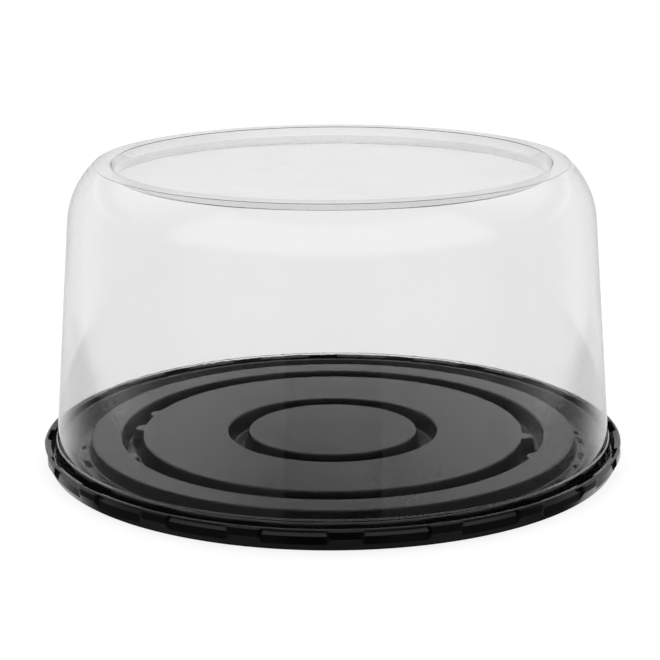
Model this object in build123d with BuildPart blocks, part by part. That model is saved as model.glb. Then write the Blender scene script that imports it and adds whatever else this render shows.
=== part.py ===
from build123d import *
from math import asin, atan2, cos, degrees, radians, sin, sqrt, tan
import os

os.makedirs("parts", exist_ok=True)

# A round cake box in two formed plastic pieces: a flat tray and a clear dome that sits in its channel.
# All sizes are in millimetres. The table is z = 0, the axis is x = y = 0 and the front is towards -Y.

# Overall sizes
CAKE_R = 114.3          # radius of the plateau that carries the cake
TOTAL_H = 140.5         # from the table to the top of the dome

# Sheet thickness of the two pieces
TRAY_SHEET = 0.7
DOME_SHEET = 0.5

# Heights of the tray above the table
PLATEAU_Z = 10.5
RIM_H = 10.0            # top of the rim and of the ridge beside it
MOAT_Z = 4.5            # floor of the moat round the plateau
GROOVE_DEPTH = 8.4      # of the two round grooves in the plateau

# The plateau and its grooves, from the axis outwards
CENTRE_DISC_R = 39.8
GROOVE_WIDTH = 10.3     # at the top
OUTER_BAND_WIDTH = 13.8
WALL_DRAFT = 14.0       # degrees, the lean of the groove and plateau walls

# The moat, the ridge and the channel that takes the foot of the dome
MOAT_FLOOR_WIDTH = 5.2
MOAT_SLOPE = 43.0       # degrees, the slope from the moat up to the ridge
RIDGE_WIDTH = 1.2
RIDGE_DRAFT = 9.0       # degrees
CHANNEL_WIDTH = 3.9     # of the channel's floor

# The rim
SKIRT_FLARE = 2.65      # how far the rim leans out below its upright band
BAND_H = 4.0            # the upright band below the top of the rim
LIP_WIDTH = 1.55        # of the folded lip along the top, flush with the outside
LIP_CHAMFER = 0.35

# The snap lugs pressed into the rim
LUG_COUNT = 20
LUG_ANGLE = 11.5        # degrees of the rim that one lug takes
LUG_PHASE = 2.1         # degrees from the front to the middle of a gap
LUG_NOSE_DROP = 1.3     # from the top of the rim down to the nose
LUG_FACE_INSET = 1.35   # of the flat face below the nose
LUG_RAMP = 52.0         # degrees, the ramp below the nose
LUG_ROOF = 12.0         # degrees, the ramp above the nose
LUG_END_R = 1.4         # the corners of a lug, seen from above

# The stops that keep stacked trays apart: their middle in degrees from the front, towards +X
INNER_STOP_ANGLES = [-109.0, -94.0, 84.0]
OUTER_STOP_ANGLES = [-68.0, 67.0]
NUB_ANGLES = [-6.4, -3.6]
STOP_WIDTH = 8.4
INNER_STOP_REACH = 4.5
OUTER_STOP_REACH = 3.5
NUB_WIDTH = 2.4
NUB_REACH = 1.4
STOP_DROP = 1.2         # from the plateau down to the top of a stop

# The dome
WALL_TAPER = 4.65       # degrees
SHOULDER_R = 38.0
SHOULDER_WIDTH = 10.8   # from the line of the wall to the fold at the top
TOP_RING_WIDTH = 7.8
PANEL_DEPTH = 4.3       # of the sunk middle panel
PANEL_DRAFT = 14.0      # degrees
STEP_Z = 12.1           # the small step round the wall
STEP_OUT = 0.5
FLANGE_Z = 3.9
FLANGE_WIDTH = 1.15

# Clearances between the pieces
SEAT_CLEARANCE = 0.65   # from the foot of the dome to the corner of the channel
LIFT_CLEARANCE = 0.35   # from the foot of the dome to the snap lugs, all the way up

# Levels and radii that follow from the sizes above
wall_lean = tan(radians(WALL_DRAFT))
groove_z = PLATEAU_Z - GROOVE_DEPTH
outer_groove_r = CAKE_R - OUTER_BAND_WIDTH - GROOVE_WIDTH
moat_in_r = CAKE_R + (PLATEAU_Z - MOAT_Z) * wall_lean
moat_out_r = moat_in_r + MOAT_FLOOR_WIDTH
ridge_in_r = moat_out_r + (RIM_H - MOAT_Z) / tan(radians(MOAT_SLOPE))
ridge_out_r = ridge_in_r + RIDGE_WIDTH
channel_in_r = ridge_out_r + (RIM_H - TRAY_SHEET) * tan(radians(RIDGE_DRAFT))
channel_out_r = channel_in_r + CHANNEL_WIDTH
rim_in_r = channel_out_r + SKIRT_FLARE
rim_out_r = rim_in_r + TRAY_SHEET
band_z = RIM_H - BAND_H
flange_r = channel_out_r - SEAT_CLEARANCE


def radial_plane(angle):
    """Upright plane through the axis, at an angle in degrees from +X, with x outwards and y up."""
    outward = (cos(radians(angle)), sin(radians(angle)), 0)
    across = (sin(radians(angle)), -cos(radians(angle)), 0)
    return Plane(origin=(0, 0, 0), x_dir=outward, z_dir=across)


def level_plane(angle, z):
    """Level plane at height z, with x outwards along an angle in degrees from the front."""
    outward = (sin(radians(angle)), -cos(radians(angle)), 0)
    return Plane(origin=(0, 0, z), x_dir=outward, z_dir=(0, 0, 1))


# The snap lugs: the rim is pressed inwards between its lip and its skirt

skirt_angle = atan2(band_z - TRAY_SHEET, SKIRT_FLARE)
skirt_foot_r = channel_out_r + TRAY_SHEET * tan(skirt_angle / 2)
lug_face_r = rim_out_r - LUG_FACE_INSET
lug_foot_z = (lug_face_r - skirt_foot_r) * tan(skirt_angle)
lug_nose_z = RIM_H - LUG_NOSE_DROP
lug_nose_r = flange_r + LIFT_CLEARANCE + TRAY_SHEET
lug_face_z = lug_nose_z - (lug_face_r - lug_nose_r) * tan(radians(LUG_RAMP))
band_middle_r = rim_in_r + TRAY_SHEET / 2
beyond_rim_r = rim_out_r + LIP_WIDTH


def roof_z(r):
    """Height of the ramp above the nose at radius r, on the outside."""
    return lug_nose_z + (r - lug_nose_r) * tan(radians(LUG_ROOF))


def lug_outside(end_r):
    """Outside of a pressed-in lug, from the skirt up to the roof ramp at radius end_r."""
    return [
        (lug_face_r, lug_foot_z),
        (lug_face_r, lug_face_z),
        (lug_nose_r, lug_nose_z),
        (end_r, roof_z(end_r)),
    ]


def lug_inside():
    """Inside of a lug, one sheet behind its outside, from the lip down, with a flat nose."""
    ramp_shift = TRAY_SHEET * tan(radians(LUG_RAMP / 2))
    nose_in_r = lug_nose_r - TRAY_SHEET
    roof_rise = TRAY_SHEET / cos(radians(LUG_ROOF))
    return [
        (band_middle_r, roof_z(band_middle_r)),
        (band_middle_r, roof_z(band_middle_r) + roof_rise / 2),
        (nose_in_r, roof_z(nose_in_r) + roof_rise),
        (nose_in_r, lug_nose_z - ramp_shift),
        (lug_face_r - TRAY_SHEET, lug_face_z - ramp_shift),
        (lug_face_r - TRAY_SHEET, lug_foot_z),
    ]


def lug_plan(near_r, half_angle, corner_r):
    """Plan of a lug about +X, from near_r to beyond the rim, with its two near corners rounded."""
    with BuildSketch() as plan:
        with BuildLine():
            near_arc = CenterArc((0, 0), near_r, -half_angle, 2 * half_angle)
            far_arc = CenterArc((0, 0), beyond_rim_r, -half_angle, 2 * half_angle)
            Line(near_arc @ 0, far_arc @ 0)
            Line(near_arc @ 1, far_arc @ 1)
        make_face()
        fillet(plan.vertices().sort_by_distance((0, 0))[:2], corner_r)
    return plan.sketch


lug_middle = LUG_PHASE - 90.0 + 180.0 / LUG_COUNT
lug_half_angle = LUG_ANGLE / 2
block_half_angle = lug_half_angle + degrees(asin(TRAY_SHEET / rim_out_r))
plan_near_r = lug_nose_r - 2 * TRAY_SHEET

with BuildPart() as lug_block:
    with BuildSketch(radial_plane(-LUG_ANGLE)):
        with BuildLine():
            Polyline(*lug_inside(), (band_middle_r, band_z), close=True)
        make_face()
    revolve(axis=Axis.Z, revolution_arc=2 * LUG_ANGLE)
    add(lug_plan(plan_near_r, block_half_angle, LUG_END_R + TRAY_SHEET))
    extrude(amount=RIM_H, mode=Mode.INTERSECT)

with BuildPart() as lug_recess:
    with BuildSketch(radial_plane(-LUG_ANGLE)):
        with BuildLine():
            Polyline(*lug_outside(beyond_rim_r), (beyond_rim_r, lug_foot_z), close=True)
        make_face()
    revolve(axis=Axis.Z, revolution_arc=2 * LUG_ANGLE)
    add(lug_plan(plan_near_r + TRAY_SHEET, lug_half_angle, LUG_END_R))
    extrude(amount=2 * RIM_H, mode=Mode.INTERSECT)


# The stops: hollow tongues that stand out from the walls of the grooves, rounded at the tip

stop_z = PLATEAU_Z - STOP_DROP
groove_lean = GROOVE_DEPTH * wall_lean


def groove_region(inner_r):
    """Section of a groove with half the sheet round it, where a stop may stand."""
    half_sheet = TRAY_SHEET / 2
    return Polyline(
        (inner_r - half_sheet, stop_z),
        (inner_r + GROOVE_WIDTH + half_sheet, stop_z),
        (inner_r + GROOVE_WIDTH - groove_lean + half_sheet, groove_z - half_sheet),
        (inner_r + groove_lean - half_sheet, groove_z - half_sheet),
        close=True,
    )


def tongue(plane, tip_r, way, width, top_z, height):
    """Tapered tongue with its top at top_z. Its round tip is at tip_r there, and way is +1 outwards."""
    spread = height * wall_lean
    length = 2 * width
    centre_r = tip_r - way * length / 2
    with BuildPart() as body:
        with BuildSketch(plane.offset(top_z - height)):
            with Locations((centre_r, 0)):
                SlotOverall(length + 2 * spread, width + 2 * spread)
        extrude(amount=height, taper=WALL_DRAFT)
    return body.part


def stop_parts(angle, groove_r, wall_r, way, width, reach):
    """The outside of a stop and the hollow under it."""
    plane = level_plane(angle, 0)
    tip_r = wall_r + way * reach
    with BuildPart() as skin:
        add(tongue(plane, tip_r, way, width, stop_z, stop_z))
        with BuildSketch(Plane.XZ):
            with BuildLine():
                groove_region(groove_r)
            make_face()
        revolve(axis=Axis.Z, mode=Mode.INTERSECT)
    inner_tip_r = tip_r - way * TRAY_SHEET
    hollow_z = stop_z - TRAY_SHEET
    hollow = tongue(plane, inner_tip_r, way, width - 2 * TRAY_SHEET, hollow_z, hollow_z + TRAY_SHEET)
    return skin.part, hollow


groove_end_r = outer_groove_r + GROOVE_WIDTH
stops = [
    stop_parts(angle, outer_groove_r, outer_groove_r, 1, STOP_WIDTH, INNER_STOP_REACH)
    for angle in INNER_STOP_ANGLES
] + [
    stop_parts(angle, outer_groove_r, groove_end_r, -1, STOP_WIDTH, OUTER_STOP_REACH)
    for angle in OUTER_STOP_ANGLES
] + [
    stop_parts(angle, outer_groove_r, groove_end_r, -1, NUB_WIDTH, NUB_REACH)
    for angle in NUB_ANGLES
]


# The tray: one sheet, drawn along its upper side

with BuildPart() as base_tray:
    with BuildSketch(Plane.XZ):
        with BuildLine():
            Polyline(
                (0, PLATEAU_Z),
                (CENTRE_DISC_R, PLATEAU_Z),
                (CENTRE_DISC_R + groove_lean, groove_z),
                (CENTRE_DISC_R + GROOVE_WIDTH - groove_lean, groove_z),
                (CENTRE_DISC_R + GROOVE_WIDTH, PLATEAU_Z),
                (outer_groove_r, PLATEAU_Z),
                (outer_groove_r + groove_lean, groove_z),
                (groove_end_r - groove_lean, groove_z),
                (groove_end_r, PLATEAU_Z),
                (CAKE_R, PLATEAU_Z),
                (moat_in_r, MOAT_Z),
                (moat_out_r, MOAT_Z),
                (ridge_in_r, RIM_H),
                (ridge_out_r, RIM_H),
                (channel_in_r, TRAY_SHEET),
                (channel_out_r, TRAY_SHEET),
                (rim_in_r, band_z),
                (rim_in_r, RIM_H - LIP_WIDTH / 2),
            )
            offset(amount=TRAY_SHEET, side=Side.RIGHT, kind=Kind.INTERSECTION)
        make_face()
        with BuildLine():
            lip_in_r = rim_out_r - LIP_WIDTH
            Polyline(
                (lip_in_r, RIM_H - LIP_WIDTH),
                (lip_in_r, RIM_H - LIP_CHAMFER),
                (lip_in_r + LIP_CHAMFER, RIM_H),
                (rim_out_r - LIP_CHAMFER, RIM_H),
                (rim_out_r, RIM_H - LIP_CHAMFER),
                (rim_out_r, RIM_H - LIP_WIDTH),
                close=True,
            )
        make_face()
    revolve(axis=Axis.Z)
    for skin, hollow in stops:
        add(skin)
        add(hollow, mode=Mode.SUBTRACT)
    with PolarLocations(0, LUG_COUNT, start_angle=lug_middle):
        add(lug_block.part)
        add(lug_recess.part, mode=Mode.SUBTRACT)

base_tray.part.label = "base_tray"
export_step(base_tray.part, "parts/base_tray.step")


# The dome: one clear sheet, drawn along its outside from the middle of the top down to the foot

wall_slope = tan(radians(WALL_TAPER))
wall_out_r = flange_r - FLANGE_WIDTH            # at the flange, below the step
step_low_r = wall_out_r - (STEP_Z - STEP_OUT / 2 - FLANGE_Z) * wall_slope
step_top_r = step_low_r - STEP_OUT
wall_line_r = step_top_r + (STEP_Z + STEP_OUT / 2) * wall_slope     # the wall's line at the table
fold_r = wall_line_r - TOTAL_H * wall_slope - SHOULDER_WIDTH
ring_in_r = fold_r - TOP_RING_WIDTH
panel_z = TOTAL_H - PANEL_DEPTH
panel_r = ring_in_r - PANEL_DEPTH * tan(radians(PANEL_DRAFT))

# The shoulder's arc touches the wall's line and ends at the fold. Its centre lies at SHOULDER_R
# inside the wall's line and at SHOULDER_R from the fold.
wall_way = Vector(-sin(radians(WALL_TAPER)), cos(radians(WALL_TAPER)))
wall_inward = Vector(-cos(radians(WALL_TAPER)), -sin(radians(WALL_TAPER)))
wall_start = Vector(wall_line_r, 0)
fold = Vector(fold_r, TOTAL_H)
from_fold = wall_start + wall_inward * SHOULDER_R - fold
along = from_fold.dot(wall_way)
wall_length = -along - sqrt(along**2 - from_fold.dot(from_fold) + SHOULDER_R**2)
shoulder_foot = wall_start + wall_way * wall_length

with BuildPart() as dome_cover:
    with BuildSketch(Plane.XZ):
        with BuildLine():
            Polyline(
                (0, panel_z),
                (panel_r, panel_z),
                (ring_in_r, TOTAL_H),
                fold,
            )
            RadiusArc(fold, shoulder_foot, SHOULDER_R)
            Polyline(
                shoulder_foot,
                (step_top_r, STEP_Z + STEP_OUT / 2),
                (step_low_r, STEP_Z - STEP_OUT / 2),
                (wall_out_r, FLANGE_Z),
                (flange_r, FLANGE_Z),
                (flange_r, TRAY_SHEET),
            )
            offset(amount=DOME_SHEET, side=Side.RIGHT, kind=Kind.INTERSECTION)
        make_face()
    revolve(axis=Axis.Z)

dome_cover.part.label = "dome_cover"
export_step(dome_cover.part, "parts/dome_cover.step")
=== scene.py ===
from math import atan2, ceil, cos, hypot, pi, radians, sin, sqrt, tan

import bpy
from mathutils import Matrix, Vector


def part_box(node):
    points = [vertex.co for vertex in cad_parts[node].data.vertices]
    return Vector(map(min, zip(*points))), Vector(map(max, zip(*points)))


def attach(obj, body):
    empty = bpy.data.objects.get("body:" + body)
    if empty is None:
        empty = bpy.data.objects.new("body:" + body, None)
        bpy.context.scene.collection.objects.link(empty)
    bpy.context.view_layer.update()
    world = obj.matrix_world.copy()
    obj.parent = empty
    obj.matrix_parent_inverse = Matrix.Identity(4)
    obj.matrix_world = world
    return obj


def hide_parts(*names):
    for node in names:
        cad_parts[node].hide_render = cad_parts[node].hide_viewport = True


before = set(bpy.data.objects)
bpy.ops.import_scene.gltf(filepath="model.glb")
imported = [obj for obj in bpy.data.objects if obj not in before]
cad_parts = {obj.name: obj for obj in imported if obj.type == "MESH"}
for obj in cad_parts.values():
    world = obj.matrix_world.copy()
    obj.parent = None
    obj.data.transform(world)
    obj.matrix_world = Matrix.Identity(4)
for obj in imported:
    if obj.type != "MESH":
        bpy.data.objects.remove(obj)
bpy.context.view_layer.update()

# The scene shows a round cake box: a black formed tray with a ring of snap lugs, and a clear dome.
# Outlines are drawn in millimetres as (radius, height) pairs and turned into metres at the end.
# Angles round the axis are in degrees, from +X unless a comment says otherwise. A lean, slope, ramp
# or roof is a tangent.
MM = 0.001

# Overall sizes, read from the frame
TRAY_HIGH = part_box("base_tray")[1]
DOME_LOW, DOME_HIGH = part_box("dome_cover")
RIM_R = TRAY_HIGH.x / MM
FLANGE_R = DOME_HIGH.x / MM
TOTAL_H = DOME_HIGH.z / MM
HEM_Z = DOME_LOW.z / MM

# The tray's sheet and its levels
TRAY_SHEET = 0.7
PLATEAU_Z = TRAY_HIGH.z / MM
RIM_H = 10.0
MOAT_Z = 4.5
GROOVE_Z = 2.1
BAND_Z = 6.0            # the crease between the rim's skirt and its upright band

# The plateau and its grooves
FIRST_RING_R = 20.0     # inside it the plateau is a flat cap
CENTRE_DISC_R = 39.8
GROOVE_WIDTH = 10.3
CAKE_R = 114.3
OUTER_BAND_WIDTH = 13.8
WALL_LEAN = tan(radians(14.0))

# The moat, the ridge, the channel and the rim
MOAT_FLOOR_WIDTH = 5.2
MOAT_SLOPE = tan(radians(43.0))
RIDGE_WIDTH = 1.2
RIDGE_LEAN = tan(radians(9.0))
RIDGE_EASE = 0.5        # the ridge's inner corner stands this far inside the top of its slope
CHANNEL_WIDTH = 3.9
SKIRT_FLARE = 2.65

# The lip. Its outer round is a quarter of an ellipse and its inner round is an arc.
LIP_OUT_WIDTH = 1.15
LIP_OUT_DROP = 1.7
LIP_IN_R = 0.45
LIP_WIDTH = LIP_OUT_WIDTH + LIP_IN_R
LIP_DEPTH = 1.55        # from the top of the rim to the underside of the lip
LIP_UNDER_Z = RIM_H - LIP_DEPTH
LIP_UNDER_RISE = 0.25   # of that underside towards the lip's inner edge

# Stretches of the lip's rounds, by (start, end, number of points). 0 degrees is outwards and 90 is up.
LIP_IN_SIDE = (180.0, 110.0, 5)
LIP_IN_TOP = (138.0, 90.0, 4)
LIP_OUT_TOP = (82.0, 60.0, 4)
LIP_OUT_SIDE = (0.0, 64.0, 9)

# Bends of the tray, by their radius on the upper side
EDGE_R = 0.9            # at the edge of the plateau and its grooves
FLOOR_R = 0.8           # at the foot of the groove walls
MOAT_BEND_R = 1.5
RIDGE_IN_BEND_R = 0.9
RIDGE_OUT_BEND_R = 1.3
CHANNEL_BEND_R = 0.5
CREASE_R = 0.4
LIP_BEND_R = 0.3
FOOT_BEND_R = 0.5
TRAY_LEAST_BEND_R = 0.25

# The snap lugs
LUG_COUNT = 20
LUG_ANGLE = 11.5
LUG_PHASE = 2.1         # from the front to the middle of a gap
LUG_NOSE_Z = 8.7
LUG_FACE_INSET = 1.35
LUG_RAMP_ANGLE = 59.0
LUG_RAMP = tan(radians(LUG_RAMP_ANGLE))
LIFT_CLEARANCE = 0.35   # from the dome's flange to a lug
NOSE_EASE = 0.33        # how far the blunt nose stands back from there
LUG_TOP = tan(radians(12.0))
LUG_ROOF = tan(radians(20.0))
LUG_SPREAD = 0.33       # how much the ends of a lug spread towards the crease, in mm for each mm
LUG_SPREAD_Z = 3.3      # how far above and below the crease they do
RAMP_BEND_R = 0.9       # at the foot of the ramp
NOSE_OUT_BEND_R = 0.2
NOSE_IN_BEND_R = 0.35
NOSE_TOP_EASE = 0.1     # how far the nose's upper inner corner lies below a full sheet over the nose
ROOF_BEND_R = 0.1

# How far a lug has come in at a distance in mm from its end, for a corner of about 1.4 mm
LUG_END_SHAPE = ((-0.4, 0.0), (-0.12, 0.04), (0.06, 0.3), (0.22, 0.62), (0.5, 0.83), (0.95, 0.95), (1.5, 1.0))

# Columns of the tray's mesh: across a gap in shares of its half, and along the middle of a lug
GAP_COLUMNS = (-0.62, 0.0, 0.62)
LUG_COLUMNS = 7
LUG_COLUMNS_FROM = 0.165    # share of the lug where the first of them stands
LUG_COLUMNS_SPAN = 0.67     # share of the lug that they take

# Heights of the rings up the rim's inner side and down its outer side, closer where an outline bends
INSIDE_LEVELS = (
    1.4, 2.2, 3.0, 3.6, 4.2, 4.8, 5.3, 5.6, 5.8, 5.95, 6.1, 6.3, 6.6, 7.0, 7.4, 7.8, 8.1,
    8.3, 8.45, 8.6, 8.75, 8.9, 9.05, 9.2, 9.29, 9.38, 9.46, 9.54, 9.62, 9.7, 9.77,
)
OUTSIDE_LEVELS = (
    9.74, 9.66, 9.58, 9.5, 9.4, 9.25, 9.1, 8.95, 8.82, 8.74, 8.66, 8.55, 8.4, 8.2, 8.0, 7.75, 7.5, 7.25,
    7.05, 6.9, 6.75, 6.6, 6.45, 6.3, 6.15, 6.03, 5.93, 5.82, 5.7, 5.3, 4.6, 3.9, 3.3, 2.9, 2.7, 2.2, 1.2,
)

# The stops in the outer groove, by their angle from the front towards +X
INNER_STOP_ANGLES = (-109.0, -94.0, 84.0)
OUTER_STOP_ANGLES = (-68.0, 67.0)
NUB_ANGLES = (-6.4, -3.6)
FRONT = -90.0           # from +X
STOP_WIDTH = 8.4
INNER_STOP_REACH = 4.5
OUTER_STOP_REACH = 3.5
NUB_WIDTH = 2.4
NUB_REACH = 1.4
STOP_Z = 9.3

# The top edge of a stop: height in mm above or below its top, and the share of its reach there
STOP_EDGE_SHAPE = (
    (0.12, 0.0), (0.03, 0.03), (0.0, 0.14), (-0.01, 0.6), (-0.04, 0.9), (-0.2, 0.98), (-0.6, 1.0),
)
STOP_EDGE_DEPTH = -STOP_EDGE_SHAPE[-1][0]
WALL_MARGIN = 1.2       # how far from a groove's wall its bends reach

# Columns across a stop, in shares of half its width
STOP_COLUMNS = (-1.15, -1.02, -0.97, -0.88, -0.7, -0.4, 0.0, 0.4, 0.7, 0.88, 0.97, 1.02, 1.15)

# The dome
DOME_SHEET = 0.3
WALL_TAPER = radians(4.65)
SHOULDER_R = 38.0
SHOULDER_WIDTH = 10.8
TOP_RING_WIDTH = 7.8
PANEL_Z = 136.2
PANEL_LEAN = tan(radians(14.0))
PANEL_RINGS = (10.0, 60.0)          # radii of rings on the flat panel
STEP_Z = 12.1
STEP_OUT = 0.5
FLANGE_Z = 3.9
FLANGE_WIDTH = 1.15
TOP_BEND_R = 0.25
STEP_BEND_R = 0.6
FLANGE_BEND_R = 0.5
DOME_LEAST_BEND_R = 0.1
DOME_COLUMNS = 504
SHOULDER_STEPS = 18
SHOULDER_FROM = 2       # the first of those steps, which leaves room for the fold's bend
WALL_RINGS = (0.25, 0.5, 0.75)      # shares of the wall from the shoulder down to the step

# How bends are drawn
ARC_STEP = radians(24.0)
RIDGE_ARC_STEP = radians(20.0)
DOME_ARC_STEP = radians(12.0)
LEAST_TURN = radians(1.0)           # a corner that turns less is drawn as it is
BEND_ROOM = 0.49        # share of the shorter line at a corner that its bend may take
LEAST_RISE = 1e-9       # between two points of an outline
NORMAL_WEIGHT = 60      # above 50, larger faces count for more in smooth shading

# Radii and heights of the tray that follow
OUTER_GROOVE_R = CAKE_R - OUTER_BAND_WIDTH - GROOVE_WIDTH
OUTER_GROOVE_END_R = CAKE_R - OUTER_BAND_WIDTH
GROOVE_LEAN = (PLATEAU_Z - GROOVE_Z) * WALL_LEAN
MOAT_IN_R = CAKE_R + (PLATEAU_Z - MOAT_Z) * WALL_LEAN
MOAT_OUT_R = MOAT_IN_R + MOAT_FLOOR_WIDTH
RIDGE_IN_R = MOAT_OUT_R + (RIM_H - MOAT_Z) / MOAT_SLOPE
RIDGE_OUT_R = RIDGE_IN_R + RIDGE_WIDTH
CHANNEL_IN_R = RIDGE_OUT_R + (RIM_H - TRAY_SHEET) * RIDGE_LEAN
CHANNEL_OUT_R = CHANNEL_IN_R + CHANNEL_WIDTH
RIM_IN_R = RIM_R - TRAY_SHEET
JOIN_R = (MOAT_IN_R + MOAT_OUT_R) / 2
LUG_FACE_R = RIM_R - LUG_FACE_INSET
LUG_NOSE_R = FLANGE_R + LIFT_CLEARANCE + NOSE_EASE + TRAY_SHEET
LUG_FACE_Z = LUG_NOSE_Z - (LUG_FACE_R - LUG_NOSE_R) * LUG_RAMP
RAMP_SHIFT = TRAY_SHEET * tan(radians(LUG_RAMP_ANGLE / 2))

# Angles of the lugs that follow
LUG_PERIOD = 360.0 / LUG_COUNT
FIRST_GAP = LUG_PHASE + FRONT
GAP_HALF = LUG_PERIOD / 2 - LUG_ANGLE / 2
MM_TO_DEG = 180.0 / (pi * RIM_R)


# Outlines

def unit(vector):
    length = hypot(*vector)
    return (vector[0] / length, vector[1] / length)


def rounded(corners, arc_step=ARC_STEP):
    """Points of an outline through (r, z, bend radius) corners, with each bend drawn as an arc."""
    points = [corners[0][:2]]
    for before, corner, after in zip(corners, corners[1:], corners[2:]):
        back = unit((before[0] - corner[0], before[1] - corner[1]))
        ahead = unit((after[0] - corner[0], after[1] - corner[1]))
        cross = back[0] * ahead[1] - back[1] * ahead[0]
        turn = pi - atan2(abs(cross), back[0] * ahead[0] + back[1] * ahead[1])
        if corner[2] <= 0 or turn < LEAST_TURN:
            points.append(corner[:2])
            continue
        room = BEND_ROOM * min(hypot(before[0] - corner[0], before[1] - corner[1]),
                               hypot(after[0] - corner[0], after[1] - corner[1]))
        reach = min(corner[2] * tan(turn / 2), room)
        radius = reach / tan(turn / 2)
        middle = unit((back[0] + ahead[0], back[1] + ahead[1]))
        centre_way = radius / cos(turn / 2)
        centre = (corner[0] + middle[0] * centre_way, corner[1] + middle[1] * centre_way)
        start = (corner[0] + back[0] * reach - centre[0], corner[1] + back[1] * reach - centre[1])
        side = 1 if start[1] * back[0] - start[0] * back[1] > 0 else -1
        steps = max(2, ceil(turn / arc_step))
        for step in range(steps + 1):
            angle = side * turn * step / steps
            points.append((centre[0] + start[0] * cos(angle) - start[1] * sin(angle),
                           centre[1] + start[0] * sin(angle) + start[1] * cos(angle)))
    points.append(corners[-1][:2])
    return points


def beside(corners, distance, least_bend):
    """The corners of the outline at a distance to the right of this one, with bends to match."""
    ways = [unit((b[0] - a[0], b[1] - a[1])) for a, b in zip(corners, corners[1:])]
    rights = [(way[1], -way[0]) for way in ways]
    moved = []
    for index, (r, z, bend) in enumerate(corners):
        before = max(index - 1, 0)
        after = min(index, len(ways) - 1)
        one, other = rights[before], rights[after]
        share = distance / (1 + one[0] * other[0] + one[1] * other[1])
        first, second = ways[before], ways[after]
        turns_right = first[0] * second[1] - first[1] * second[0] < 0
        new_bend = bend - distance if turns_right else bend + distance
        new_r = r + (one[0] + other[0]) * share
        new_z = z + (one[1] + other[1]) * share
        moved.append((new_r, new_z, max(new_bend, least_bend)))
    return moved


def radius_at(points, z):
    """Radius of an outline that only rises or only falls, at height z."""
    ordered = sorted(points, key=lambda point: point[1])
    if z <= ordered[0][1]:
        return ordered[0][0]
    for low, high in zip(ordered, ordered[1:]):
        if z <= high[1]:
            share = (z - low[1]) / max(high[1] - low[1], LEAST_RISE)
            return low[0] + share * (high[0] - low[0])
    return ordered[-1][0]


def spaced(low, high, count):
    return [low + (high - low) * i / (count - 1) for i in range(count)]


# Meshes

class Sweep:
    """Collects rings of points about the axis and the faces between them."""

    def __init__(self):
        self.vertices = []
        self.faces = []

    def ring(self, angles, place):
        """One ring; place(angle) gives (r, z, angle) of its point."""
        indices = []
        for angle in angles:
            r, z, real_angle = place(angle)
            indices.append(len(self.vertices))
            self.vertices.append((r * cos(radians(real_angle)), r * sin(radians(real_angle)), z))
        return indices

    def strip(self, first, second):
        """Faces between two rings with as many points."""
        count = len(first)
        for i in range(count):
            j = (i + 1) % count
            self.faces.append((first[i], first[j], second[j], second[i]))

    def strips(self, rings):
        for first, second in zip(rings, rings[1:]):
            self.strip(first, second)

    def cap(self, ring, z, upward):
        """Flat faces from a ring to the axis."""
        centre = len(self.vertices)
        self.vertices.append((0.0, 0.0, z))
        count = len(ring)
        for i in range(count):
            j = (i + 1) % count
            self.faces.append((centre, ring[i], ring[j]) if upward else (centre, ring[j], ring[i]))

    def seam(self, inner, inner_angles, outer, outer_angles, shared, downward):
        """Flat faces between two rings that share only some of their angles."""
        inner_at = {angle: i for i, angle in enumerate(inner_angles)}
        outer_at = {angle: i for i, angle in enumerate(outer_angles)}
        for here, there in zip(shared, shared[1:] + shared[:1]):
            near = span(inner, inner_at[here], inner_at[there])
            far = span(outer, outer_at[here], outer_at[there])
            face = near[::-1] + far
            self.faces.append(tuple(face[::-1]) if downward else tuple(face))

    def piece(self, name):
        """The finished object, in metres and shaded smoothly."""
        mesh = bpy.data.meshes.new(name)
        mesh.from_pydata([(x * MM, y * MM, z * MM) for x, y, z in self.vertices], [], self.faces)
        mesh.validate()
        mesh.shade_smooth()
        piece = bpy.data.objects.new(name, mesh)
        bpy.context.scene.collection.objects.link(piece)
        even = piece.modifiers.new("Even_Normals", "WEIGHTED_NORMAL")
        even.weight = NORMAL_WEIGHT
        even.keep_sharp = True
        return piece


def span(ring, start, end):
    """The stretch of a ring from one index to another, both ends included."""
    if end > start:
        return ring[start:end + 1]
    return ring[start:] + ring[:end + 1]


def still(r, z):
    """Place on a ring that is the same at every angle."""
    return lambda angle: (r, z, angle)


# The tray: the angles of its columns

def gap_middles():
    return [FIRST_GAP + LUG_PERIOD * k for k in range(LUG_COUNT)]


def plain_columns():
    """Angles that the plateau and the rim share, the same in every gap and lug."""
    columns = []
    for middle in gap_middles():
        for share in GAP_COLUMNS:
            columns.append(middle + share * GAP_HALF)
        for step in range(LUG_COLUMNS):
            share = LUG_COLUMNS_FROM + LUG_COLUMNS_SPAN * step / (LUG_COLUMNS - 1)
            columns.append(middle + GAP_HALF + LUG_ANGLE * share)
    return sorted(angle % 360.0 for angle in columns)


def in_lug(angle):
    """1 at the angles of the lugs and 0 in the gaps."""
    offset = (angle - FIRST_GAP) % LUG_PERIOD
    return 1.0 if min(offset, LUG_PERIOD - offset) > GAP_HALF else 0.0


def rim_columns(shared):
    """Each column of the rim by its angle: how far the lug has come in, and the side of its end."""
    columns = {angle: (in_lug(angle), 0) for angle in shared}
    for middle in gap_middles():
        for side in (1, -1):
            for distance, share in LUG_END_SHAPE:
                angle = (middle + side * (GAP_HALF + distance * MM_TO_DEG)) % 360.0
                columns[angle] = (share, side)
    return columns


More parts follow.
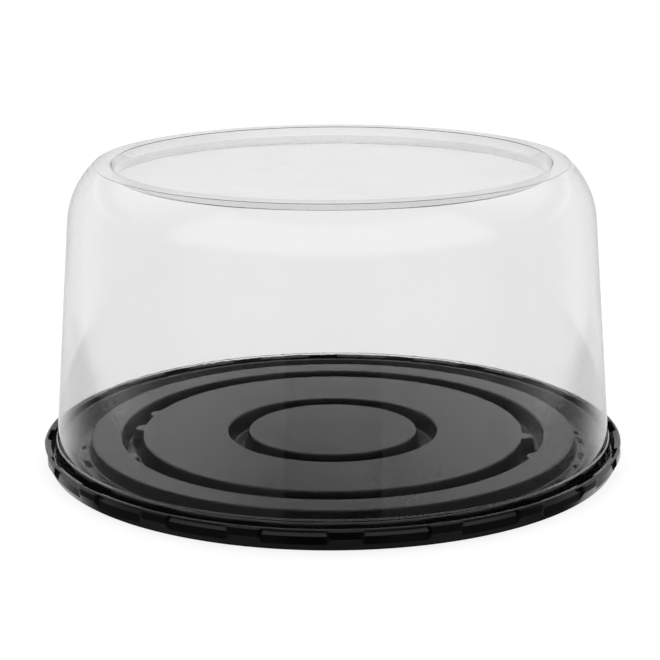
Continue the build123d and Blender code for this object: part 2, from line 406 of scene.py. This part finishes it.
def all_stops():
    """Each stop as (angle, way, width, reach), where way is 1 outwards and -1 inwards."""
    stops = [(angle, 1, STOP_WIDTH, INNER_STOP_REACH) for angle in INNER_STOP_ANGLES]
    stops += [(angle, -1, STOP_WIDTH, OUTER_STOP_REACH) for angle in OUTER_STOP_ANGLES]
    stops += [(angle, -1, NUB_WIDTH, NUB_REACH) for angle in NUB_ANGLES]
    return [(angle + FRONT, way, width, reach) for angle, way, width, reach in stops]


def stop_wall_r(way):
    """Radius of the wall of the outer groove that stops of one way stand on."""
    return OUTER_GROOVE_R if way > 0 else OUTER_GROOVE_END_R


def plateau_columns(shared):
    """The shared angles, and more of them at the stops."""
    angles = set(shared)
    for middle, way, width, reach in all_stops():
        for share in STOP_COLUMNS:
            angles.add((middle + share * width / 2 / stop_wall_r(way) * 180.0 / pi) % 360.0)
    return sorted(angles)


def stop_reach(angle, way):
    """How far the stops on one wall of the outer groove stand out at an angle."""
    for middle, stop_way, width, reach in all_stops():
        off = abs((angle - middle + 180.0) % 360.0 - 180.0)
        across = radians(off) * stop_wall_r(way)
        half = width / 2
        if stop_way == way and across < half:
            return max(reach - half, 0.0) + min(half, reach) * sqrt(1 - (across / half) ** 2)
    return 0.0


# The tray: the plateau, from the axis to the middle of the moat

def plateau_corners():
    """The upper side's corners, outwards."""
    corners = [(FIRST_RING_R, PLATEAU_Z, 0.0)]
    for start in (CENTRE_DISC_R, OUTER_GROOVE_R):
        corners += [
            (start, PLATEAU_Z, EDGE_R),
            (start + GROOVE_LEAN, GROOVE_Z, FLOOR_R),
            (start + GROOVE_WIDTH - GROOVE_LEAN, GROOVE_Z, FLOOR_R),
            (start + GROOVE_WIDTH, PLATEAU_Z, EDGE_R),
        ]
    corners += [(CAKE_R, PLATEAU_Z, EDGE_R), (MOAT_IN_R, MOAT_Z, FLOOR_R), (JOIN_R, MOAT_Z, 0.0)]
    return corners


def near_wall(r, top_r, low_r):
    return min(top_r, low_r) - WALL_MARGIN <= r <= max(top_r, low_r) + WALL_MARGIN


def plateau_rows(corners, depth):
    """Rows (r, z, way, share) of the side of the sheet at a depth, with the stops' rows put in."""
    stop_z = STOP_Z - depth
    walls = (
        (OUTER_GROOVE_R - depth, OUTER_GROOVE_R + GROOVE_LEAN - depth, 1),
        (OUTER_GROOVE_END_R + depth, OUTER_GROOVE_END_R - GROOVE_LEAN + depth, -1),
    )
    rows = []
    for r, z in rounded(corners):
        way = 0
        for top_r, low_r, wall_way in walls:
            if near_wall(r, top_r, low_r) and z < stop_z - STOP_EDGE_DEPTH:
                way = wall_way
        rows.append((r, z, way, 1.0))
    for top_r, low_r, way in walls:
        lean = (low_r - top_r) / (PLATEAU_Z - GROOVE_Z)
        edge = [(top_r + (PLATEAU_Z - depth - stop_z - rise) * lean, stop_z + rise, way, share)
                for rise, share in STOP_EDGE_SHAPE]
        if way < 0:
            edge.reverse()
        at = wall_break(rows, top_r, low_r, stop_z)
        rows[at:at] = edge
    return rows


def wall_break(rows, top_r, low_r, level):
    """Where along the rows the wall between two radii crosses a level."""
    for index, (one, other) in enumerate(zip(rows, rows[1:])):
        on_wall = near_wall(one[0], top_r, low_r) and near_wall(other[0], top_r, low_r)
        if on_wall and (one[1] - level) * (other[1] - level) < 0:
            return index + 1
    raise ValueError("the wall doesn't cross that level")


def plateau_place(row):
    """Place on a row of the plateau, moved out of the wall where a stop is."""
    r, z, way, share = row

    def place(angle):
        reach = stop_reach(angle, way) if way else 0.0
        return r + way * share * reach, z, angle

    return place


def add_plateau(sweep, angles):
    """Both sides of the plateau. Gives the last ring of each."""
    top_corners = plateau_corners()
    low_corners = beside(top_corners, TRAY_SHEET, TRAY_LEAST_BEND_R)
    low_corners[0] = (FIRST_RING_R, PLATEAU_Z - TRAY_SHEET, 0.0)
    low_corners[-1] = (JOIN_R, MOAT_Z - TRAY_SHEET, 0.0)
    top = [sweep.ring(angles, plateau_place(row)) for row in plateau_rows(top_corners, 0.0)]
    low = [sweep.ring(angles, plateau_place(row)) for row in plateau_rows(low_corners, TRAY_SHEET)]
    sweep.cap(top[0], PLATEAU_Z, True)
    sweep.strips(top[::-1])
    sweep.cap(low[0], PLATEAU_Z - TRAY_SHEET, False)
    sweep.strips(low)
    return top[-1], low[-1]


# The tray: the ridge, the channel and the rim with its lugs

def ridge_corners():
    """The upper side's corners, from the middle of the moat out to the rim."""
    return [
        (JOIN_R, MOAT_Z, 0.0),
        (MOAT_OUT_R, MOAT_Z, MOAT_BEND_R),
        (RIDGE_IN_R - RIDGE_EASE, RIM_H - RIDGE_EASE * MOAT_SLOPE, RIDGE_IN_BEND_R),
        (RIDGE_OUT_R, RIM_H, RIDGE_OUT_BEND_R),
        (CHANNEL_IN_R, TRAY_SHEET, CHANNEL_BEND_R),
        (CHANNEL_OUT_R, TRAY_SHEET, CHANNEL_BEND_R),
        (RIM_IN_R, BAND_Z, 0.0),
    ]


def lip_round(width, drop, start, end, count):
    """Points of one side of the lip's round, which is an ellipse about its crest line."""
    crest_r = RIM_R - LIP_OUT_WIDTH
    return [(crest_r + width * cos(radians(a)), RIM_H - drop + drop * sin(radians(a)))
            for a in spaced(start, end, count)]


def lip_top():
    """The top of the lip, from its inner side over to its outer side."""
    inner = lip_round(LIP_IN_R, LIP_IN_R, *LIP_IN_TOP)
    outer = lip_round(LIP_OUT_WIDTH, LIP_OUT_DROP, *LIP_OUT_TOP)
    return inner + outer


def rim_inside():
    """The rim's inner side: plain outline and lug outline, both rising from the channel."""
    lip_in_r = RIM_R - LIP_WIDTH
    plain = rounded([
        (CHANNEL_OUT_R, TRAY_SHEET, 0.0),
        (RIM_IN_R, BAND_Z, CREASE_R),
        (RIM_IN_R, LIP_UNDER_Z, LIP_BEND_R),
        (lip_in_r, LIP_UNDER_Z + LIP_UNDER_RISE, LIP_BEND_R),
        (lip_in_r, RIM_H - LIP_IN_R, 0.0),
    ])
    plain += lip_round(LIP_IN_R, LIP_IN_R, *LIP_IN_SIDE)
    nose_r = LUG_NOSE_R - TRAY_SHEET
    top_z = LUG_NOSE_Z + TRAY_SHEET
    lug = rounded([
        (LUG_FACE_R - TRAY_SHEET, TRAY_SHEET, 0.0),
        (LUG_FACE_R - TRAY_SHEET, LUG_FACE_Z - RAMP_SHIFT, RAMP_BEND_R),
        (nose_r, LUG_NOSE_Z - RAMP_SHIFT, NOSE_IN_BEND_R),
        (nose_r, top_z - NOSE_TOP_EASE, NOSE_IN_BEND_R),
        (nose_r + (RIM_H - top_z) / LUG_TOP, RIM_H, 0.0),
    ])
    return plain, lug


def skirt_foot():
    """Angle of the skirt and radius of its foot, on the outside."""
    skirt = atan2(BAND_Z - TRAY_SHEET, SKIRT_FLARE)
    return skirt, CHANNEL_OUT_R + TRAY_SHEET * tan(skirt / 2)


def rim_outside():
    """The rim's outer side: plain outline and lug outline, both rising from the foot."""
    skirt, foot_r = skirt_foot()
    plain = rounded([
        (foot_r, 0.0, 0.0),
        (RIM_R, (RIM_R - foot_r) * tan(skirt), CREASE_R),
        (RIM_R, RIM_H - LIP_OUT_DROP, 0.0),
    ])
    plain += lip_round(LIP_OUT_WIDTH, LIP_OUT_DROP, *LIP_OUT_SIDE)
    lug = rounded([
        (LUG_FACE_R, 0.0, 0.0),
        (LUG_FACE_R, LUG_FACE_Z, RAMP_BEND_R),
        (LUG_NOSE_R, LUG_NOSE_Z, NOSE_OUT_BEND_R),
        (RIM_R, LUG_NOSE_Z + (RIM_R - LUG_NOSE_R) * LUG_ROOF, ROOF_BEND_R),
        (RIM_R, RIM_H, 0.0),
    ])
    return plain, lug


def foot_outline():
    """The tray's underside, from below the skirt's last ring back to the middle of the moat."""
    skirt, foot_r = skirt_foot()
    last_z = OUTSIDE_LEVELS[-1]
    under = beside(ridge_corners(), TRAY_SHEET, TRAY_LEAST_BEND_R)
    under[0] = (JOIN_R, MOAT_Z - TRAY_SHEET, 0.0)
    on_skirt = [(foot_r + last_z / tan(skirt), last_z, 0.0), (foot_r, 0.0, FOOT_BEND_R)]
    up_to_channel = under[:-2]
    return rounded(on_skirt + up_to_channel[::-1])[1:]


def lug_place(outlines, z, columns):
    """Place on a ring of the rim at height z, between the plain outline and the lug's."""
    plain, lug = outlines
    plain_r = radius_at(plain, z)
    lug_r = min(radius_at(lug, z), plain_r)
    spread = LUG_SPREAD * max(LUG_SPREAD_Z - abs(z - BAND_Z), 0.0) * MM_TO_DEG

    def place(angle):
        share, side = columns[angle]
        return plain_r + share * (lug_r - plain_r), z, angle - side * spread

    return place


def add_rim(sweep, angles, columns):
    """The rest of the tray, out to the rim, over its lip and back underneath. Gives both end rings."""
    inside = rim_inside()
    outside = rim_outside()
    places = [still(r, z) for r, z in rounded(ridge_corners(), RIDGE_ARC_STEP)[:-1]]
    places += [lug_place(inside, z, columns) for z in INSIDE_LEVELS]
    places += [still(r, z) for r, z in lip_top()]
    places += [lug_place(outside, z, columns) for z in OUTSIDE_LEVELS]
    places += [still(r, z) for r, z in foot_outline()]
    rings = [sweep.ring(angles, place) for place in places]
    sweep.strips(rings[::-1])
    return rings[0], rings[-1]


def build_tray():
    sweep = Sweep()
    shared = plain_columns()
    inner_angles = plateau_columns(shared)
    columns = rim_columns(shared)
    outer_angles = sorted(columns)
    plateau_top, plateau_low = add_plateau(sweep, inner_angles)
    rim_top, rim_low = add_rim(sweep, outer_angles, columns)
    sweep.seam(plateau_top, inner_angles, rim_top, outer_angles, shared, True)
    sweep.seam(plateau_low, inner_angles, rim_low, outer_angles, shared, False)
    return sweep.piece("tray_sheet")


# The dome

def shoulder(wall_line_r, slope):
    """Centre of the shoulder's arc, the foot of the arc and the fold at its top."""
    fold = Vector((wall_line_r - TOTAL_H * slope - SHOULDER_WIDTH, TOTAL_H))
    up = Vector((-sin(WALL_TAPER), cos(WALL_TAPER)))
    inward = Vector((-cos(WALL_TAPER), -sin(WALL_TAPER)))
    start = Vector((wall_line_r, 0.0))
    offset = start + inward * SHOULDER_R - fold
    along = offset.dot(up)
    length = -along - sqrt(along ** 2 - offset.dot(offset) + SHOULDER_R ** 2)
    foot = start + up * length
    return foot + inward * SHOULDER_R, foot, fold


def dome_outline():
    """The dome's outside as corners, from the middle of the top down to the hem."""
    slope = tan(WALL_TAPER)
    wall_r = FLANGE_R - FLANGE_WIDTH
    step_low_r = wall_r - (STEP_Z - STEP_OUT / 2 - FLANGE_Z) * slope
    step_top_r = step_low_r - STEP_OUT
    centre, foot, fold = shoulder(step_top_r + (STEP_Z + STEP_OUT / 2) * slope, slope)
    ring_in_r = fold.x - TOP_RING_WIDTH
    panel_r = ring_in_r - (TOTAL_H - PANEL_Z) * PANEL_LEAN
    corners = [(r, PANEL_Z, 0.0) for r in PANEL_RINGS]
    corners += [
        (panel_r, PANEL_Z, TOP_BEND_R),
        (ring_in_r, TOTAL_H, TOP_BEND_R),
        (fold.x, fold.y, TOP_BEND_R),
    ]
    start = fold - centre
    end = foot - centre
    turn = atan2(start.y, start.x) - atan2(end.y, end.x)
    for step in range(SHOULDER_FROM, SHOULDER_STEPS + 1):
        angle = atan2(start.y, start.x) - turn * step / SHOULDER_STEPS
        corners.append((centre.x + SHOULDER_R * cos(angle), centre.y + SHOULDER_R * sin(angle), 0.0))
    for share in WALL_RINGS:
        z = foot.y + share * (STEP_Z - foot.y)
        corners.append((foot.x + share * (step_top_r - foot.x), z, 0.0))
    corners += [
        (step_top_r, STEP_Z + STEP_OUT / 2, STEP_BEND_R),
        (step_low_r, STEP_Z - STEP_OUT / 2, STEP_BEND_R),
        (wall_r, FLANGE_Z, FLANGE_BEND_R),
        (FLANGE_R, FLANGE_Z, FLANGE_BEND_R),
        (FLANGE_R, HEM_Z, 0.0),
    ]
    return corners


def build_dome():
    sweep = Sweep()
    angles = [360.0 * k / DOME_COLUMNS for k in range(DOME_COLUMNS)]
    outside = dome_outline()
    inside = beside(outside, DOME_SHEET, DOME_LEAST_BEND_R)
    inside[-1] = (inside[-1][0], HEM_Z, 0.0)
    outer = [sweep.ring(angles, still(r, z)) for r, z in rounded(outside, DOME_ARC_STEP)]
    inner = [sweep.ring(angles, still(r, z)) for r, z in rounded(inside, DOME_ARC_STEP)]
    sweep.cap(outer[0], PANEL_Z, True)
    sweep.cap(inner[0], PANEL_Z - DOME_SHEET, False)
    sweep.strips(inner + outer[::-1])
    return sweep.piece("dome_sheet")


# Materials. Noise scales are for each metre, and bump distances are in metres.

GRAIN_SCALE = 1250.0
GRAIN_DEPTH = 0.00002
FLOW_SCALE = 28.0
FLOW_RANGE = (0.3, 0.7)
SMUDGE_SCALE = 9.0
BLACK_ROUGHNESS = (0.16, 0.22)
BLACK_DEEP = (0.004, 0.004, 0.0044, 1)
BLACK_FAINT = (0.007, 0.007, 0.0076, 1)

RIPPLE_STRETCH = (1.0, 1.0, 0.55)
FINE_RIPPLE_SCALE = 420.0
BROAD_RIPPLE_SCALE = 22.0
BROAD_RIPPLE_SHARE = 6.0
RIPPLE_DEPTH = 0.000012
CLEAR_TINT = (0.955, 0.955, 0.96, 1)

FLOOR_GLOW = 0.83       # the floor's white is partly its own
FLOOR_GREYS = ((0.34, 0.34, 0.34, 1), (0.36, 0.36, 0.36, 1))
FLOOR_MOTTLE_SCALE = 3.0


class Nodes:
    """A short way to add nodes to a material or a world."""

    def __init__(self, owner):
        owner.use_nodes = True
        self.tree = owner.node_tree
        self.tree.nodes.clear()

    def add(self, kind, values=None, **settings):
        """One node, with its inputs linked where a value is an output and set where it isn't."""
        node = self.tree.nodes.new(kind)
        for name, value in settings.items():
            setattr(node, name, value)
        for socket, value in (values or {}).items():
            if isinstance(value, bpy.types.NodeSocket):
                self.tree.links.new(value, node.inputs[socket])
            else:
                node.inputs[socket].default_value = value
        return node

    def maths(self, operation, *values):
        return self.add("ShaderNodeMath", dict(enumerate(values)), operation=operation).outputs[0]

    def noise(self, scale, detail, vector=None):
        values = {"Scale": scale, "Detail": detail}
        if vector is not None:
            values["Vector"] = vector
        return self.add("ShaderNodeTexNoise", values).outputs["Fac"]

    def mix(self, factor, first, second, kind="FLOAT"):
        values = {"Factor": factor, "A": first, "B": second}
        return self.add("ShaderNodeMix", values, data_type=kind).outputs["Result"]

    def ramp(self, value, reach, ends, kind="SMOOTHSTEP"):
        """Goes from one end to the other while the value goes through its reach."""
        values = {"Value": value, "From Min": reach[0], "From Max": reach[1]}
        values |= {"To Min": ends[0], "To Max": ends[1]}
        return self.add("ShaderNodeMapRange", values, interpolation_type=kind).outputs[0]


def black_plastic():
    """Black formed sheet: satin on top, with a fine grain and faint flow marks."""
    material = bpy.data.materials.new("Black_Formed_Sheet")
    nodes = Nodes(material)
    place = nodes.add("ShaderNodeTexCoord").outputs["Object"]
    grain = nodes.noise(GRAIN_SCALE, detail=2.0, vector=place)
    flow = nodes.noise(FLOW_SCALE, detail=3.0, vector=place)
    smudge = nodes.noise(SMUDGE_SCALE, detail=2.0, vector=place)
    bump = nodes.add("ShaderNodeBump", {"Strength": 0.9, "Distance": GRAIN_DEPTH, "Height": grain})
    shader = nodes.add("ShaderNodeBsdfPrincipled", {
        "Base Color": nodes.mix(smudge, BLACK_DEEP, BLACK_FAINT, "RGBA"),
        "Roughness": nodes.ramp(flow, FLOW_RANGE, BLACK_ROUGHNESS, "LINEAR"),
        "IOR": 1.5,
        "Specular IOR Level": 0.44,
        "Normal": bump.outputs[0],
    })
    nodes.add("ShaderNodeOutputMaterial", {"Surface": shader.outputs[0]})
    return material


def clear_plastic():
    """Clear formed sheet that refracts as a solid does, with fine ripples, and throws no shadow."""
    material = bpy.data.materials.new("Clear_Formed_Sheet")
    nodes = Nodes(material)
    place = nodes.add("ShaderNodeTexCoord").outputs["Object"]
    stretched = nodes.add("ShaderNodeMapping", {"Vector": place, "Scale": RIPPLE_STRETCH}).outputs[0]
    fine = nodes.noise(FINE_RIPPLE_SCALE, detail=2.0, vector=stretched)
    broad = nodes.noise(BROAD_RIPPLE_SCALE, detail=2.0, vector=stretched)
    height = nodes.maths("MULTIPLY_ADD", broad, BROAD_RIPPLE_SHARE, fine)
    bump = nodes.add("ShaderNodeBump", {"Strength": 1.0, "Distance": RIPPLE_DEPTH, "Height": height})
    shader = nodes.add("ShaderNodeBsdfPrincipled", {
        "Base Color": CLEAR_TINT,
        "Roughness": 0.0,
        "IOR": 1.57,
        "Transmission Weight": 1.0,
        "Normal": bump.outputs[0],
    })
    through = nodes.add("ShaderNodeBsdfTransparent")
    shadow = nodes.add("ShaderNodeLightPath").outputs["Is Shadow Ray"]
    mixed = nodes.add("ShaderNodeMixShader", {0: shadow, 1: shader.outputs[0], 2: through.outputs[0]})
    nodes.add("ShaderNodeOutputMaterial", {"Surface": mixed.outputs[0]})
    return material


def direct_view(nodes):
    """1 for what is seen straight or only through clear sheet, without a reflection before it."""
    path = nodes.add("ShaderNodeLightPath").outputs
    bounces = nodes.maths("ADD", path["Glossy Depth"], path["Diffuse Depth"])
    no_bounce = nodes.maths("LESS_THAN", bounces, 0.5)
    through = nodes.maths("MULTIPLY", path["Is Transmission Ray"], no_bounce)
    return nodes.maths("MAXIMUM", path["Is Camera Ray"], through)


def studio_white():
    """Matt white with a glow of its own where it is seen, and clear to every other ray."""
    material = bpy.data.materials.new("Studio_White")
    nodes = Nodes(material)
    mottle = nodes.noise(FLOOR_MOTTLE_SCALE, detail=2.0)
    matt = nodes.add("ShaderNodeBsdfDiffuse", {"Color": nodes.mix(mottle, *FLOOR_GREYS, "RGBA")})
    seen = direct_view(nodes)
    glow = nodes.add("ShaderNodeEmission", {"Strength": nodes.maths("MULTIPLY", seen, FLOOR_GLOW)})
    both = nodes.add("ShaderNodeAddShader", {0: matt.outputs[0], 1: glow.outputs[0]})
    clear = nodes.add("ShaderNodeBsdfTransparent")
    mixed = nodes.add("ShaderNodeMixShader", {0: seen, 1: clear.outputs[0], 2: both.outputs[0]})
    nodes.add("ShaderNodeOutputMaterial", {"Surface": mixed.outputs[0]})
    return material


# The studio's light, by direction. A turn is in degrees off the back: 0 is behind the object and 180 is
# towards the front. A height is in degrees above the horizon. Each light fades over a pair of them.

WHITE = (1, 1, 1, 1)

BACKDROP_TURNS = (50.0, 118.0)      # the white backdrop fades out
BACKDROP_LOW = 0.83                 # its level at its foot
BACKDROP_FOOT_HEIGHTS = (11.5, 14.0)
DIP_LEVEL = 0.72                    # what a dimmer stretch of the backdrop takes away
DIP_START_HEIGHTS = (14.5, 18.0)
DIP_END_HEIGHTS = (22.0, 28.0)
DIP_TURNS = (2.0, 5.0)              # the dip is full in the middle and less beside it
DIP_SIDE_SHARE = 0.35

SIDE_LEVEL = 0.065
LOW_HEIGHTS = (-12.0, -10.5)        # below them the backdrop and the sides have other levels
LOW_BACK_LEVEL = 0.85
LOW_SIDE_LEVEL = 0.07
LOW_TURNS = (30.0, 68.0)            # from the one level to the other
LOW_END_HEIGHTS = (-38.0, -30.0)    # both end here
GAP_TURNS = (160.0, 162.0)          # a dark gap towards the front
GAP_SHARE = 0.1                     # of the sides' level that is left in it

GROUND_LEVEL = 0.16                 # straight below
GROUND_HEIGHTS = (-60.0, -35.0)

BOX_LEVEL = 0.75                    # of a lamp box above and in front
BOX_HEIGHTS = (9.0, 25.0)
BOX_TURNS = (92.0, 112.0)
BOX_ROUND_HEIGHTS = (50.0, 75.0)    # above them the box reaches all round
TOP_LEVEL = 0.32                    # of the same box at the zenith
TOP_HEIGHTS = (50.0, 62.0)


def rises(heights):
    """Heights in degrees as the upward parts of directions."""
    return tuple(sin(radians(height)) for height in heights)


def backdrop_light(nodes, rise, turn):
    round_back = nodes.ramp(turn, BACKDROP_TURNS, (1.0, 0.0))
    dip_start = nodes.ramp(rise, rises(DIP_START_HEIGHTS), (0.0, DIP_LEVEL))
    dip_end = nodes.ramp(rise, rises(DIP_END_HEIGHTS), (1.0, 0.0))
    dip_middle = nodes.ramp(turn, DIP_TURNS, (1.0, DIP_SIDE_SHARE))
    dip = nodes.maths("MULTIPLY", nodes.maths("MULTIPLY", dip_start, dip_end), dip_middle)
    level = nodes.ramp(rise, rises(BACKDROP_FOOT_HEIGHTS), (BACKDROP_LOW, 1.0))
    return nodes.maths("MULTIPLY", round_back, nodes.maths("SUBTRACT", level, dip))


def side_light(nodes, rise, turn):
    """The backdrop and the sides, with their levels below the horizon."""
    gap = nodes.ramp(turn, GAP_TURNS, (1.0, GAP_SHARE))
    sides = nodes.maths("MAXIMUM", backdrop_light(nodes, rise, turn), nodes.maths("MULTIPLY", gap, SIDE_LEVEL))
    low = nodes.maths("MULTIPLY", gap, nodes.ramp(turn, LOW_TURNS, (LOW_BACK_LEVEL, LOW_SIDE_LEVEL)))
    low_end = nodes.ramp(rise, rises(LOW_END_HEIGHTS), (0.0, 1.0))
    is_low = nodes.ramp(rise, rises(LOW_HEIGHTS), (1.0, 0.0))
    return nodes.mix(is_low, sides, nodes.maths("MULTIPLY", low, low_end))


def box_light(nodes, rise, turn):
    """A lamp box above and in front, which also reaches over the top."""
    above = nodes.ramp(rise, rises(BOX_HEIGHTS), (0.0, 1.0))
    in_front = nodes.ramp(turn, BOX_TURNS, (0.0, 1.0))
    near_top = nodes.ramp(rise, rises(BOX_ROUND_HEIGHTS), (0.0, 1.0))
    shape = nodes.maths("MAXIMUM", nodes.maths("MULTIPLY", above, in_front), near_top)
    level = nodes.ramp(rise, rises(TOP_HEIGHTS), (BOX_LEVEL, TOP_LEVEL))
    return nodes.maths("MULTIPLY", shape, level)


def light_world():
    """Soft studio light: a white backdrop, a lamp box above and in front, and dim sides."""
    world = bpy.data.worlds.new("Studio_Light")
    bpy.context.scene.world = world
    nodes = Nodes(world)
    way = nodes.add("ShaderNodeTexCoord").outputs["Generated"]
    across, back, rise = nodes.add("ShaderNodeSeparateXYZ", {0: way}).outputs
    off_back = nodes.maths("ARCTAN2", nodes.maths("ABSOLUTE", across), back)
    turn = nodes.maths("MULTIPLY", off_back, 180.0 / pi)
    sides = side_light(nodes, rise, turn)
    box = box_light(nodes, rise, turn)
    ground = nodes.ramp(rise, rises(GROUND_HEIGHTS), (GROUND_LEVEL, 0.0))
    light = nodes.maths("MAXIMUM", sides, nodes.maths("MAXIMUM", ground, box))
    strength = nodes.maths("MAXIMUM", light, direct_view(nodes))
    background = nodes.add("ShaderNodeBackground", {"Color": WHITE, "Strength": strength})
    nodes.add("ShaderNodeOutputWorld", {"Surface": background.outputs[0]})


# The floor and the camera, in metres

FLOOR_HALF = 9.0
FLOOR_Z = -0.0002
CAMERA_PLACE = Vector((-0.0011, -0.8671, 0.2851))
CAMERA_AIM = Vector((-0.0011, 0.0, 0.0591))
CAMERA_LENS = 103.45    # in mm, as is the sensor's width
CAMERA_SENSOR = 36.0
CAMERA_ROLL = radians(-0.25)


def make_floor():
    """White floor, which takes the object's soft shadow."""
    mesh = bpy.data.meshes.new("studio_floor")
    signs = ((-1, -1), (1, -1), (1, 1), (-1, 1))
    mesh.from_pydata([(x * FLOOR_HALF, y * FLOOR_HALF, FLOOR_Z) for x, y in signs], [], [(0, 1, 2, 3)])
    floor = bpy.data.objects.new("studio_floor", mesh)
    bpy.context.scene.collection.objects.link(floor)
    mesh.materials.append(studio_white())
    floor.visible_glossy = False


def make_camera():
    data = bpy.data.cameras.new("Camera")
    data.lens = CAMERA_LENS
    data.sensor_width = CAMERA_SENSOR
    camera = bpy.data.objects.new("Camera", data)
    bpy.context.scene.collection.objects.link(camera)
    turn = (CAMERA_AIM - CAMERA_PLACE).to_track_quat("-Z", "Y").to_matrix().to_4x4()
    camera.matrix_world = Matrix.Translation(CAMERA_PLACE) @ turn @ Matrix.Rotation(CAMERA_ROLL, 4, "Z")
    bpy.context.scene.camera = camera


def dress(piece, node, body, material):
    """Puts a piece in the place of its node and on its body, with one material for both."""
    piece.data.materials.append(material)
    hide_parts(node)
    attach(piece, body)
    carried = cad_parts[node]
    for place in carried.material_slots:
        place.material = material


make_camera()
light_world()
make_floor()
dress(build_tray(), "base_tray", "base", black_plastic())
dress(build_dome(), "dome_cover", "dome", clear_plastic())

bpy.context.scene.view_settings.view_transform = "Standard"
